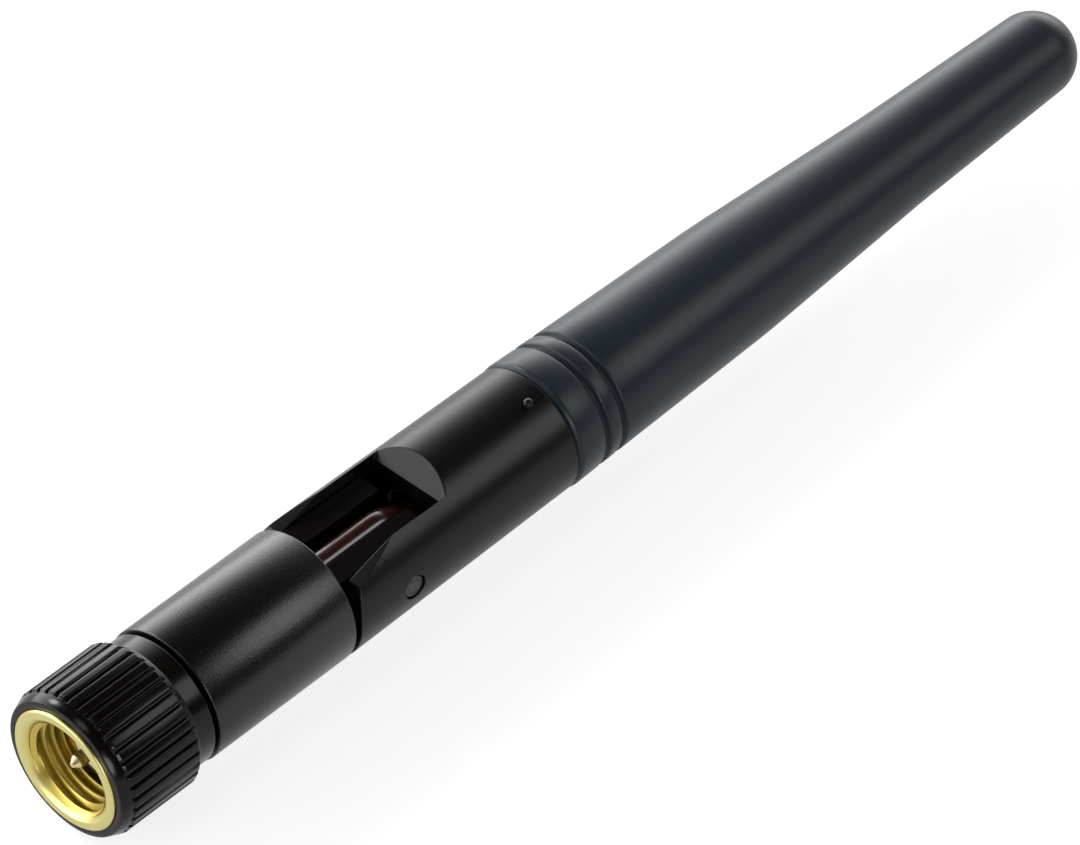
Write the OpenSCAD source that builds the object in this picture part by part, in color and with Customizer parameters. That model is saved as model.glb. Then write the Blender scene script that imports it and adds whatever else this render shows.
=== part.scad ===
// Hinged dipole antenna with a screw-on coaxial plug, lying on its side.
// The axis runs along +X from the plug's mouth to the tip, and the open side of the hinge faces +Z.
// The origin is on the axis, in the plug's mating face. Every size is in millimetres.

/* [Plug] */
// Diameter of the centre contact's pin
pin_d = 0.92; // [0.9:0.01:0.94]
// How far the pin stands out of the mating face
pin_reach = 2; // [1.6:0.1:2.3]
// Length of the pin's pointed end
pin_point = 0.35; // [0.2:0.05:0.5]
// Diameter of the contact inside the insulator
contact_d = 1.27; // [1.1:0.01:1.4]
// Wall of the plug body round the insulator, at the mating face
nose_wall = 0.25; // [0.2:0.01:0.3]
// Length of the insulator
insulator_length = 4.6; // [4:0.1:5]
// Diameter of the plug body where the nut and the base turn on it
shell_d = 5.12; // [5:0.01:5.2]
// How far the body's nose stands in from its full diameter
nose_step = 0.26; // [0.16:0.02:0.32]
// Length of the nose in front of the full diameter
shell_nose = 0.8; // [0.4:0.1:1.2]
// Room round the flange that holds the plug in the base
flange_room = 0.3; // [0.2:0.05:0.5]
// Thickness of that flange
flange_t = 0.8; // [0.6:0.1:1.2]
// Diameter of the crimp tail
tail_d = 2; // [1.9:0.05:2.2]
// Length of the crimp tail
tail_length = 2.85; // [2.4:0.05:3.2]
// How far the contact stands out behind the insulator
contact_back = 0.5; // [0.4:0.05:0.7]
// Depth of the contact's solder cup
cup_depth = 1.2; // [0.9:0.05:1.3]
// Length of the air pocket behind the insulator
pocket_length = 0.8; // [0.7:0.05:1]
// Room round the contact in that pocket
pocket_room = 0.4; // [0.3:0.05:0.5]

/* [Coupling nut] */
// Depth from the mouth to the mating face
mouth_depth = 2.7; // [2.5:0.1:3.2]
// Diameter at the crests of the inner thread
thread_crest_d = 5.7; // [5.6:0.05:5.9]
// Diameter of the mouth, at the outer end of its chamfer
mouth_d = 7.14; // [6.7:0.02:7.3]
// Diameter of the flat front rim
rim_d = 8.26; // [8.1:0.02:8.5]
// Length of the rim
rim_length = 0.6; // [0.4:0.1:1]
// Diameter of the nut behind its rim
nut_d = 7.9; // [7.4:0.1:8]
// Length of the nut behind the mating face
nut_back = 3.3; // [3:0.1:3.8]
// Where the snap ring starts, behind the mating face
ring_at = 1.7; // [1.5:0.05:2]
// Width of the snap ring's grooves
ring_slot = 0.6; // [0.5:0.05:0.7]
// Depth of the groove in the plug body
ring_depth = 0.36; // [0.25:0.01:0.4]

/* [Knurled sleeve] */
// Diameter over the ridges
knurl_d = 10; // [9.8:0.05:10.6]
// Number of ridges
knurl_count = 36; // [24:1:48]
// Depth of the grooves between the ridges
knurl_depth = 0.32; // [0.15:0.01:0.4]
// Share of the pitch that is ridge
knurl_land = 0.66; // [0.5:0.02:0.8]
// Length of the ridges with their end chamfers
knurl_length = 5.9; // [5:0.1:7]
// Length of the bevel in front of the ridges
sleeve_bevel = 0.7; // [0.5:0.05:1]
// How far the nut's rim stands proud of the sleeve
rim_proud = 0.2; // [0.05:0.05:0.3]
// Diameter of the smooth collar behind the ridges
collar_d = 8.9; // [8.6:0.1:9.3]
// Length of that collar
collar_length = 1.4; // [1:0.1:2]
// Diameter of the sleeve's front face, outside the rim
sleeve_face_d = 9.28; // [8.8:0.02:9.4]
// Diameter at the outer end of the sleeve's front bevel
sleeve_bevel_d = 9.76; // [9.5:0.02:9.8]

/* [Base] */
// Outer diameter of the base
base_d = 9.1; // [8.9:0.05:9.5]
// Length of the base
base_length = 11.4; // [10.9:0.1:13]
// Gap between the knurled sleeve and the base
swivel_gap = 0.2; // [0.1:0.05:0.4]
// Wall of the base sleeve
base_wall = 0.85; // [0.7:0.05:1]
// Length of the inner lip that the plug's flange bears on
base_lip = 1.5; // [1.2:0.1:1.8]
// End play of the flange between lip and washer
end_play = 0.1; // [0.05:0.01:0.15]
// Thickness of the swivel washer
washer_t = 0.3; // [0.2:0.05:0.4]
// Chamfer at both ends of the base
base_chamfer = 0.25; // [0.1:0.05:0.4]

/* [Hinge] */
// Distance from the base's end to the hinge pins
pivot_reach = 5.1; // [4.9:0.05:5.4]
// Gap between the base's end and the fork's ears
ear_gap = 0.45; // [0.35:0.05:0.6]
// Width of the tongue between the ears
tongue_w = 5.46; // [5.2:0.02:5.6]
// Radius of the tongue's round end
tongue_r = 3.65; // [3.4:0.05:3.8]
// Height of the tongue's flat top over the axis
tongue_top = 2.5; // [2.2:0.05:2.8]
// Gap between the tongue's end and the root of the fork
root_gap = 0.35; // [0.25:0.05:0.5]
// Width of the cable channel in the tongue
channel_w = 2.3; // [2.1:0.05:2.5]
// Diameter of the hinge pins
hinge_pin_d = 1.6; // [1.4:0.05:1.8]
// Depth of the dimple over each pin's end
pin_dimple = 0.16; // [0.1:0.02:0.3]
// Height over the axis where the fork's root starts to slope
slope_from = 3; // [2.6:0.1:3.3]
// Slope of the fork's root from upright, in degrees
slope_angle = 38; // [20:1:45]
// Height over the axis where the ears' tops start to slope
ear_slope_from = 2.4; // [2:0.05:2.8]
// Slope of the ears' tops from level, in degrees
ear_slope = 17; // [14:0.5:24]

/* [Arm] */
// How far the fork tapers on each side, from its ears' front ends to the radome
fork_taper = 0.18; // [0.1:0.01:0.25]
// Length of the fork's tube, from its root to the radome
fork_tube = 10.3; // [9:0.1:12]
// Height of the fork's shoulder round the spigot
spigot_step = 1.17; // [1.1:0.01:1.25]
// Length of the spigot
spigot_length = 9.5; // [8:0.1:11]
// Radius of the small moulded pip on the fork's tube
pip_r = 0.33; // [0.2:0.01:0.45]
// How far the pip lies ahead of the radome
pip_ahead = 1.35; // [1:0.05:2]
// Turn of the pip from the top towards -Y, in degrees
pip_turn = 19.5; // [0:0.5:30]

/* [Radome] */
// How far the radome's lip stands out from the fork
lip_proud = 0.07; // [0:0.01:0.15]
// Diameter at the shoulder, where the steeper taper starts
shoulder_d = 8.1; // [7.9:0.05:8.4]
// Distance of the shoulder from the lip
shoulder_at = 18.4; // [16:0.2:20]
// Diameter at the neck, where the taper slackens
neck_d = 6.56; // [6.4:0.02:6.8]
// Distance of the neck from the lip
neck_at = 33.6; // [31:0.2:35]
// Diameter of the round tip
tip_d = 5.8; // [5.6:0.05:6.2]
// Length of the radome from lip to tip
radome_length = 50; // [48:0.2:54]
// Wall of the radome past the spigot
radome_wall = 1.05; // [0.9:0.05:1.15]
// Gap between the fork's shoulder and the lip
lip_gap = 0.1; // [0.05:0.05:0.2]
// Radius of the rounded lip
lip_r = 0.5; // [0.3:0.05:0.6]
// Distance of the first ring groove from the lip
groove_at = 2.6; // [2:0.1:3.5]
// Pitch of the two ring grooves
groove_pitch = 1.5; // [1:0.1:2]
// Width of a ring groove
groove_w = 0.5; // [0.3:0.05:0.7]
// Depth of a ring groove
groove_depth = 0.3; // [0.15:0.05:0.4]

/* [Cable] */
// Diameter of the brown jacket
jacket_d = 1.8; // [1.7:0.02:1.9]
// Diameter of the braid
braid_d = 1.3; // [1.24:0.01:1.36]
// Diameter of the white core
core_d = 0.84; // [0.8:0.01:0.88]
// Diameter of the inner conductor
conductor_d = 0.3; // [0.26:0.01:0.34]
// How far the cable rises over the axis inside the hinge
cable_rise = 1; // [0.6:0.05:1.2]
// Length over which the cable rises in the base
cable_run = 5; // [4:0.1:5.4]
// Length over which it falls towards the fork's root
cable_fall = 4; // [3.6:0.1:4.4]
// How far past the fork's root it is straight again
cable_past_root = 0.8; // [0.6:0.1:1]

/* [Dipole] */
// Diameter of the brass sleeve of the dipole
choke_d = 4; // [3.6:0.05:4.2]
// Wall of that sleeve
choke_wall = 0.25; // [0.2:0.01:0.35]
// Length of that sleeve
choke_length = 26; // [24:0.2:28]
// Length of the core past the sleeve
whisker_length = 23.6; // [22:0.2:24.6]
// How far the brass sleeve reaches back into the fork's tube
choke_back = 3.4; // [3:0.1:3.8]
// How far the jacket ends inside the brass sleeve
jacket_short = 1.2; // [1:0.1:1.6]
// Wall of the shrink tube over the feed point
shrink_wall = 0.25; // [0.15:0.05:0.3]
// Length of that tube on the brass sleeve
shrink_grip = 2.4; // [2:0.1:3]
// Length over which it narrows to the core
shrink_taper = 1.6; // [1.2:0.1:2.2]
// Length of its narrow end
shrink_tail = 1; // [0.6:0.1:1.6]

/* [Fits] */
// Clearance round what is pressed or glued in
press_gap = 0.02; // [0.01:0.005:0.03]
// Clearance round what turns
running_gap = 0.05; // [0.03:0.01:0.07]
// Clearance between the tongue and each ear
side_gap = 0.1; // [0.06:0.02:0.16]
// Small gap between the ends of pieces that follow each other
end_gap = 0.1; // [0.05:0.05:0.15]

/* [Hidden] */

$fn = 96;
// past is how far a cut runs on beyond what it cuts
past = 1;

// Stations along the axis, from the mouth to the tip
mouth_x = -mouth_depth;
sleeve_x = mouth_x + rim_proud;
knurl_x = sleeve_x + sleeve_bevel;
knurl_end = knurl_x + knurl_length;
sleeve_end = knurl_end + collar_length;
base_x = sleeve_end + swivel_gap;
base_end = base_x + base_length;
flange_x = base_x + base_lip + end_play;
tail_x = flange_x + flange_t;
tail_end = tail_x + tail_length;
washer_x = tail_x + end_play / 2;
plug_x = washer_x + washer_t + end_play / 2;
pivot_x = base_end + pivot_reach;
ear_r = pivot_reach - ear_gap;
ear_x = pivot_x - ear_r;
root_x = pivot_x + tongue_r + root_gap;
fork_end = root_x + fork_tube;
lip_x = fork_end + lip_gap;
tip_x = lip_x + radome_length;
spigot_end = lip_x + spigot_length;

// Inside the plug and the cable
shell_nose_d = shell_d - 2 * nose_step;
insulator_d = shell_nose_d - 2 * nose_wall;
flange_d = base_d - 2 * (base_wall + flange_room);
pocket_end = insulator_length + pocket_length;
contact_end = insulator_length + contact_back;
braid_x = pocket_end + end_gap;
core_x = contact_end + end_gap / 2;
conductor_x = contact_end - cup_depth + end_gap;
jacket_x = tail_end + end_gap;
ferrule_x = tail_x + end_gap;
ferrule_wall = 0.38;
ferrule_grip = 1.5;
ferrule_end = tail_end + ferrule_grip;
ferrule_d = tail_d + 2 * (press_gap + ferrule_wall);
ferrule_pocket = ferrule_end + 0.5;

// The cable's route
rise_x = base_end + ear_gap + side_gap - cable_run;
fall_x = root_x + cable_past_root - cable_fall;
route_step = 0.01;
bend_steps = 6;
cable_sides = 12;

// Inside the arm
fork_front_d = base_d;
fork_d = fork_front_d - 2 * fork_taper;
spigot_d = fork_d - 2 * spigot_step;
radome_d = fork_d + 2 * lip_proud;
choke_x = fork_end - choke_back;
choke_end = choke_x + choke_length;
jacket_end = choke_end - jacket_short;
braid_end = choke_end + end_gap;
core_end = braid_end + whisker_length;
conductor_end = core_end + 4 * end_gap;

// Grooves, bores and slots
ring_outer_d = shell_d + 0.6;
ring_inner_d = shell_d - 2 * ring_depth + 2 * running_gap;
slot_w = tongue_w + 2 * side_gap;
crest_chamfer = (mouth_d - thread_crest_d) / 2;
relief_x = 0.5;
relief_end = 1;

// Diameter of the fork's outside at a station, tapering from the ears to the radome
function fork_d_at(x) = fork_front_d + (fork_d - fork_front_d) * (x - ear_x) / (fork_end - ear_x);

// Turns a profile of [radius, station] points round the X axis
module turned(profile) rotate([0, 90, 0]) rotate_extrude() polygon(profile);

// A straight tube along X between two stations
module tube_x(outer_d, inner_d, from, to) {
    turned([[inner_d / 2, from], [outer_d / 2, from], [outer_d / 2, to], [inner_d / 2, to]]);
}

// A bore along X between two stations
module bore_x(d, from, to) translate([from, 0, 0]) rotate([0, 90, 0]) cylinder(d = d, h = to - from);

// Extrudes a side outline, drawn in X and Z, across the given width about the XZ plane
module across(width) rotate([90, 0, 0]) linear_extrude(width, center = true) children();

module knurled_sleeve() {
    pitch = 360 / knurl_count;
    land = pitch * knurl_land / 2;
    crest = knurl_d / 2;
    valley = crest - knurl_depth;
    crown = 0.05;
    // each ridge has a slightly crowned top between two sloping flanks
    ridges = [
        for (i = [0:knurl_count - 1], p = [
            [valley, -pitch / 2 + land / 6], [crest - crown, -land], [crest, -land / 3],
            [crest, land / 3], [crest - crown, land], [valley, pitch / 2 - land / 6]
        ]) p[0] * [cos(i * pitch + p[1]), sin(i * pitch + p[1])]
    ];
    face = sleeve_face_d / 2;
    bevel = sleeve_bevel_d / 2;
    bevel_lip = 0.08;
    end_chamfer = crest - collar_d / 2;
    collar_edge = 0.15;
    collar_blend = 0.05;
    color("#17120f") difference() {
        union() {
            // the ridges, cut to length with a chamfer at each end
            intersection() {
                translate([knurl_x, 0, 0]) rotate([0, 90, 0])
                    linear_extrude(knurl_length) polygon(ridges);
                turned([
                    [0, knurl_x], [bevel - crown, knurl_x], [crest, knurl_x + 2 * bevel_lip],
                    [crest, knurl_end - end_chamfer], [collar_d / 2 - collar_blend, knurl_end],
                    [0, knurl_end]
                ]);
            }
            // the smooth core, its front bevel and the rear collar
            turned([
                [0, sleeve_x], [face, sleeve_x], [bevel, knurl_x - bevel_lip], [bevel, knurl_x],
                [valley, knurl_x + bevel_lip], [valley, knurl_end - 8 * collar_blend],
                [collar_d / 2, knurl_end - 2 * collar_blend],
                [collar_d / 2, sleeve_end - collar_edge],
                [collar_d / 2 - collar_edge, sleeve_end], [0, sleeve_end]
            ]);
        }
        bore_x(nut_d + 2 * press_gap, sleeve_x - past, nut_back + press_gap);
        bore_x(rim_d + 2 * press_gap, sleeve_x - past, mouth_x + rim_length + press_gap);
        bore_x(shell_d + 8 * running_gap, 0, sleeve_end + past);
    }
}

module coupling_nut() {
    crest = thread_crest_d / 2;
    rear_bore = shell_d / 2 + running_gap;
    ring_bore = ring_outer_d / 2 + running_gap;
    relief = crest + 0.4;
    rim_edge = 0.1;
    color("#d9c46a") turned([
        [mouth_d / 2, mouth_x], [rim_d / 2 - rim_edge, mouth_x], [rim_d / 2, mouth_x + rim_edge],
        [rim_d / 2, mouth_x + rim_length], [nut_d / 2, mouth_x + rim_length],
        [nut_d / 2, nut_back], [rear_bore, nut_back],
        [rear_bore, ring_at + ring_slot], [ring_bore, ring_at + ring_slot],
        [ring_bore, ring_at], [rear_bore, ring_at],
        [rear_bore, relief_end], [relief, relief_end], [relief, relief_x],
        [crest, relief_x], [crest, mouth_x + crest_chamfer]
    ]);
}

module nut_snap_ring() {
    ring_w = ring_slot - 2 * running_gap;
    open_angle = 40;
    color("#b9a25c") difference() {
        tube_x(ring_outer_d, ring_inner_d, ring_at + running_gap, ring_at + running_gap + ring_w);
        // the gap that lets the ring be squeezed into its groove
        translate([ring_at - past, 0, 0]) rotate([0, 90, 0])
            linear_extrude(ring_slot + 2 * past)
                polygon([[0, 0], [shell_d, -shell_d * tan(open_angle / 2)],
                    [shell_d, shell_d * tan(open_angle / 2)]]);
    }
}

module plug_shell() {
    body = shell_d / 2;
    groove = body - ring_depth;
    seat = insulator_d / 2 + press_gap;
    pocket = contact_d / 2 + pocket_room;
    braid_seat = braid_d / 2 + press_gap;
    color("#cdb65d") turned([
        [seat, 0], [shell_nose_d / 2, 0], [shell_nose_d / 2, shell_nose],
        [body, shell_nose + (body - shell_nose_d / 2)], [body, ring_at], [groove, ring_at],
        [groove, ring_at + ring_slot], [body, ring_at + ring_slot], [body, flange_x],
        [flange_d / 2, flange_x], [flange_d / 2, tail_x], [tail_d / 2, tail_x],
        [tail_d / 2, tail_end], [braid_seat, tail_end], [braid_seat, pocket_end],
        [pocket, pocket_end], [pocket, insulator_length], [seat, insulator_length]
    ]);
}

module plug_insulator() {
    color("#f2f0ea") tube_x(insulator_d, contact_d + 2 * press_gap, 0, insulator_length);
}

module center_contact() {
    tip_r = pin_d / 6;
    cup = conductor_d / 2 + press_gap;
    color("#d8c77a") turned([
        [0, -pin_reach], [tip_r, -pin_reach], [pin_d / 2, pin_point - pin_reach], [pin_d / 2, 0],
        [contact_d / 2, 0], [contact_d / 2, contact_end], [cup, contact_end],
        [cup, contact_end - cup_depth], [0, contact_end - cup_depth]
    ]);
}

module crimp_ferrule() {
    crimp_from = ferrule_x + 0.75;
    crimp_to = ferrule_end - 1;
    bore_d = tail_d + 2 * press_gap;
    color("#b9b4a6") difference() {
        union() {
            bore_x(ferrule_d, ferrule_x, crimp_from);
            // the crimping tool leaves six flats
            translate([crimp_from, 0, 0]) rotate([0, 90, 0])
                cylinder(d = ferrule_d, h = crimp_to - crimp_from, $fn = 6);
            bore_x(ferrule_d, crimp_to, ferrule_end);
        }
        bore_x(bore_d, ferrule_x - past, ferrule_end + past);
    }
}

module base_sleeve() {
    out = base_d / 2;
    lip_bore = shell_d / 2 + running_gap;
    color("#26262a") turned([
        [lip_bore, base_x], [out - base_chamfer, base_x], [out, base_x + base_chamfer],
        [out, base_end - base_chamfer], [out - base_chamfer, base_end],
        [out - base_wall, base_end], [out - base_wall, base_x + base_lip],
        [lip_bore, base_x + base_lip]
    ]);
}

module swivel_washer() {
    color("#e4ddcb") tube_x(
        base_d - 2 * base_wall - 4 * running_gap, ferrule_d + 4 * running_gap,
        washer_x, washer_x + washer_t
    );
}

module hinge_knuckle() {
    plug_d = base_d - 2 * (base_wall + press_gap);
    ferrule_room = ferrule_d + 6 * running_gap;
    tongue_start = base_end + running_gap;
    foot_d = fork_d_at(pivot_x) - 2 * running_gap;
    color("#141011") difference() {
        union() {
            bore_x(plug_d, plug_x, tongue_start);
            intersection() {
                across(tongue_w) {
                    translate([pivot_x, 0]) circle(tongue_r);
                    // the neck of the tongue, with a flat top
                    translate([tongue_start, -past]) square([pivot_x - tongue_start, past + tongue_top]);
                    // the foot, which stops the arm in line with the base
                    translate([tongue_start, -base_d])
                        square([pivot_x + tongue_r - tongue_start, base_d]);
                }
                bore_x(foot_d, tongue_start, pivot_x + tongue_r + past);
            }
        }
        // the flat top runs on over the round end
        translate([tongue_start, -tongue_w, tongue_top])
            cube([pivot_reach + tongue_r, 2 * tongue_w, tongue_r]);
        bore_x(ferrule_room, plug_x - past, ferrule_pocket);
        // the channel that the cable lies in, open at the top so that the cable can fold up
        bore_x(channel_w, plug_x, pivot_x + tongue_r + past);
        translate([ferrule_pocket, -channel_w / 2, 0])
            cube([pivot_x + tongue_r - ferrule_end, channel_w, base_d]);
        hinge_bore(hinge_pin_d + 2 * running_gap, tongue_w + past);
    }
}

// A bore for the hinge pins, across the part
module hinge_bore(d, width)
    translate([pivot_x, 0, 0]) rotate([90, 0, 0]) cylinder(d = d, h = width, center = true);

// Height of the cable over the axis: straight in the base, lifted inside the hinge, straight in the arm
function cable_lift(x) =
    x <= rise_x || x >= fall_x + cable_fall ? 0
    : x < rise_x + cable_run ? cable_rise * (1 - cos(180 * (x - rise_x) / cable_run)) / 2
    : x <= fall_x ? cable_rise
    : cable_rise * (1 + cos(180 * (x - fall_x) / cable_fall)) / 2;

// Slope of the cable's route at a station, in degrees
function cable_slope(x) =
    atan((cable_lift(x + route_step) - cable_lift(x - route_step)) / (2 * route_step));

// A ring of points round the route, square to it
function cable_ring(x, r) = [
    for (k = [0:cable_sides - 1]) let (a = 360 * k / cable_sides, s = cable_slope(x))
        [x - r * sin(a) * sin(s), r * cos(a), cable_lift(x) + r * sin(a) * cos(s)]
];

// Faces of a wall through rings of points whose numbers start at first; seen from outside
function wall_faces(first, rings, outward) = [
    for (i = [0:rings - 2], k = [0:cable_sides - 1])
        let (
            near = first + i * cable_sides, next = near + cable_sides, k2 = (k + 1) % cable_sides,
            face = [near + k, next + k, next + k2, near + k2]
        )
        outward ? face : [face[3], face[2], face[1], face[0]]
];

// One layer of the cable between two stations; it is solid where inner_d is 0
module cable_layer(outer_d, inner_d, from, to) {
    n = cable_sides;
    stations = concat(
        [from], [for (i = [0:bend_steps]) rise_x + cable_run * i / bend_steps],
        [for (i = [0:bend_steps]) fall_x + cable_fall * i / bend_steps], [to]
    );
    rings = len(stations);
    last = (rings - 1) * n;
    inside = rings * n;
    outer = [for (x = stations) each cable_ring(x, outer_d / 2)];
    if (inner_d > 0)
        polyhedron(
            concat(outer, [for (x = stations) each cable_ring(x, inner_d / 2)]),
            concat(
                wall_faces(0, rings, true), wall_faces(inside, rings, false),
                [for (k = [0:n - 1]) let (m = (k + 1) % n) [k, m, inside + m, inside + k]],
                [for (k = [0:n - 1]) let (m = (k + 1) % n)
                    [last + m, last + k, inside + last + k, inside + last + m]]
            )
        );
    else
        polyhedron(outer, concat(
            wall_faces(0, rings, true), [[for (k = [0:n - 1]) k]],
            [[for (k = [0:n - 1]) last + n - 1 - k]]
        ));
}

module coax_jacket() {
    color("#6a3418") cable_layer(jacket_d, braid_d + 2 * press_gap, jacket_x, jacket_end);
}

module coax_braid() {
    color("#b8b8b4") cable_layer(braid_d, core_d + 2 * press_gap, braid_x, braid_end);
}

module coax_core() {
    color("#f4f2ee") cable_layer(core_d, conductor_d + 2 * press_gap, core_x, core_end);
}

module coax_conductor() {
    color("#d9d9d6") cable_layer(conductor_d, 0, conductor_x, conductor_end);
}

module hinge_fork() {
    body_end = fork_d / 2;
    cable_room = channel_w;
    choke_room = choke_d + 2 * running_gap;
    flare = 1.4;
    spigot_edge = 0.3;
    ear_slope_x = pivot_x - sqrt(pow(ear_r, 2) - pow(ear_slope_from, 2));
    // the ears are rounded about the hinge pins above the axis, so that they clear the base
    color("#1b1a1d") difference() {
        intersection() {
            turned([
                [0, ear_x], [fork_front_d / 2, ear_x], [body_end, fork_end],
                [spigot_d / 2, fork_end], [spigot_d / 2, spigot_end - spigot_edge],
                [spigot_d / 2 - spigot_edge, spigot_end], [0, spigot_end]
            ]);
            across(2 * fork_front_d) {
                intersection() {
                    translate([pivot_x, 0]) circle(ear_r);
                    // the tops slope up from the round front towards the root
                    polygon([
                        [ear_x - past, -past], [ear_x - past, ear_slope_from],
                        [ear_slope_x, ear_slope_from],
                        [ear_slope_x + fork_front_d, ear_slope_from + fork_front_d * tan(ear_slope)],
                        [ear_slope_x + fork_front_d, -past]
                    ]);
                }
                translate([ear_x, -fork_front_d]) square([ear_r + past, fork_front_d]);
                translate([pivot_x, -fork_front_d]) square([spigot_end - pivot_x, 2 * fork_front_d]);
            }
        }
        // the slot for the tongue, with its sloping root
        across(slot_w) polygon([
            [ear_x - past, -fork_front_d], [root_x, -fork_front_d], [root_x, slope_from],
            [root_x + (fork_front_d - slope_from) * tan(slope_angle), fork_front_d],
            [ear_x - past, fork_front_d]
        ]);
        bore_x(cable_room, root_x - past, choke_x + past);
        translate([root_x, 0, 0]) rotate([0, 90, 0])
            cylinder(d1 = cable_room + flare, d2 = cable_room, h = flare);
        bore_x(choke_room, choke_x - 2 * end_gap, spigot_end + past);
        hinge_bore(hinge_pin_d + 2 * press_gap, 2 * fork_front_d);
    }
    pip_at = fork_end - pip_ahead;
    color("#1b1a1d") translate([pip_at, 0, 0]) rotate([pip_turn, 0, 0])
        translate([0, 0, fork_d_at(pip_at) / 2]) sphere(pip_r, $fn = 24);
}

// A stub pin through one ear and one cheek of the tongue; side is 1 for +Y and -1 for -Y
module hinge_stub(side) {
    outer_end = fork_d_at(pivot_x) / 2 - pin_dimple;
    inner_end = channel_w / 2 + running_gap;
    edge = 0.12;
    translate([pivot_x, 0, 0]) rotate([-90 * side, 0, 0]) rotate_extrude()
        polygon([
            [0, inner_end], [hinge_pin_d / 2 - edge, inner_end], [hinge_pin_d / 2, inner_end + edge],
            [hinge_pin_d / 2, outer_end - edge], [hinge_pin_d / 2 - edge, outer_end], [0, outer_end]
        ]);
}

module hinge_pin_left() color("#3a3a3e") hinge_stub(1);

module hinge_pin_right() color("#3a3a3e") hinge_stub(-1);

module radome() {
    lip = radome_d / 2;
    shoulder = shoulder_d / 2;
    neck = neck_d / 2;
    tip = tip_d / 2;
    tip_center = tip_x - tip;
    socket = spigot_d / 2 + press_gap;
    socket_end = spigot_end + 3 * end_gap;
    socket_step = 0.3;
    lip_steps = 6;
    lip_curve = [for (i = [0:lip_steps]) [
        lip - lip_r + lip_r * sin(90 * i / lip_steps),
        lip_x + lip_r - lip_r * cos(90 * i / lip_steps)
    ]];
    color("#3b4145") difference() {
        union() {
            turned(concat([[0, lip_x]], lip_curve, [
                [shoulder, lip_x + shoulder_at], [neck, lip_x + neck_at],
                [tip, tip_center], [0, tip_center]
            ]));
            translate([tip_center, 0, 0]) sphere(tip);
        }
        for (i = [0:1]) ring_groove(lip_x + groove_at + i * groove_pitch);
        // the socket for the spigot, and the tapered space for the dipole
        bore_x(2 * socket, lip_x - past, socket_end);
        turned([
            [0, socket_end - end_gap], [socket - socket_step, socket_end - end_gap],
            [shoulder - radome_wall, lip_x + shoulder_at], [neck - radome_wall, lip_x + neck_at],
            [tip - radome_wall, tip_center], [0, tip_center]
        ]);
        translate([tip_center, 0, 0]) sphere(tip - radome_wall);
    }
}

// A ring-shaped cut for one groove of the radome
module ring_groove(x) {
    floor_d = radome_d - (radome_d - shoulder_d) * (x - lip_x) / shoulder_at - 2 * groove_depth;
    tube_x(radome_d + past, floor_d, x - groove_w / 2, x + groove_w / 2);
}

module choke_sleeve() {
    color("#b08d3e") tube_x(choke_d, choke_d - 2 * choke_wall, choke_x, choke_end);
}

module feed_solder() {
    inner = braid_d / 2 + press_gap;
    outer = choke_d / 2 - choke_wall - press_gap;
    // the solder climbs a little on the braid
    climb = 0.05;
    color("#c9cacb") turned([
        [inner, jacket_end + 2 * end_gap], [outer, jacket_end + 2 * end_gap],
        [outer, choke_end - 3 * end_gap], [(inner + outer) / 2, choke_end - climb],
        [inner, choke_end + climb]
    ]);
}

module feed_shrink_tube() {
    over = choke_d / 2 + press_gap;
    over_core = core_d / 2 + 2 * press_gap;
    taper_x = choke_end + 2 * end_gap;
    taper_end = taper_x + shrink_taper;
    tail_tip = taper_end + shrink_tail;
    color("#202022") turned([
        [over, choke_end - shrink_grip], [over + shrink_wall, choke_end - shrink_grip],
        [over + shrink_wall, taper_x], [over_core + shrink_wall, taper_end],
        [over_core + shrink_wall, tail_tip], [over_core, tail_tip],
        [over_core, taper_end], [over, taper_x]
    ]);
}

knurled_sleeve();
coupling_nut();
nut_snap_ring();
plug_shell();
plug_insulator();
center_contact();
crimp_ferrule();
base_sleeve();
swivel_washer();
hinge_knuckle();
coax_jacket();
coax_braid();
coax_core();
coax_conductor();
hinge_fork();
hinge_pin_left();
hinge_pin_right();
radome();
choke_sleeve();
feed_solder();
feed_shrink_tube();
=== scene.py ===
import math

import bpy
from mathutils import Matrix, Vector


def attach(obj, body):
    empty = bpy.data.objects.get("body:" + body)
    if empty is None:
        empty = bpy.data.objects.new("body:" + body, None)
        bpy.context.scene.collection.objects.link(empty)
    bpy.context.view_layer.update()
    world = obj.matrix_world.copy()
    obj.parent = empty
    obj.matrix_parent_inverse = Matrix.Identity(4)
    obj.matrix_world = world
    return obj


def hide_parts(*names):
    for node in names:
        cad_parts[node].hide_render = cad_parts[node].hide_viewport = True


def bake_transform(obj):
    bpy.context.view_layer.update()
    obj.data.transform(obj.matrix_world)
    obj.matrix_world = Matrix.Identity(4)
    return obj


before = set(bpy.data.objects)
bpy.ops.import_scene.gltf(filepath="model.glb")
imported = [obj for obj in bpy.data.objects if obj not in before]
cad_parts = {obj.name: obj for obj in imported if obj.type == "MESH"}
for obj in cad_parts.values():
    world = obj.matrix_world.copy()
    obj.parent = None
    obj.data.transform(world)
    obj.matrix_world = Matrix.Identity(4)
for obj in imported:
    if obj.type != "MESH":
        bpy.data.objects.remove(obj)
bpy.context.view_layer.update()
print("stage: frame loaded")

mm = 0.001


# camera: a long lens that looks down on the plug's mouth, as in the photo
cameraSettings = {
    "azimuth": -46.78,
    "elevation": 44.0,
    "distance": 0.45,
    "focalPixels": 7746.0,
    "imageSize": (1080, 845),
    "mouthPixel": (63.2, 771.8),
    "mouthAt": (-2.7, 0.0, 0.0),
    "sensor": 36.0,
}


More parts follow.
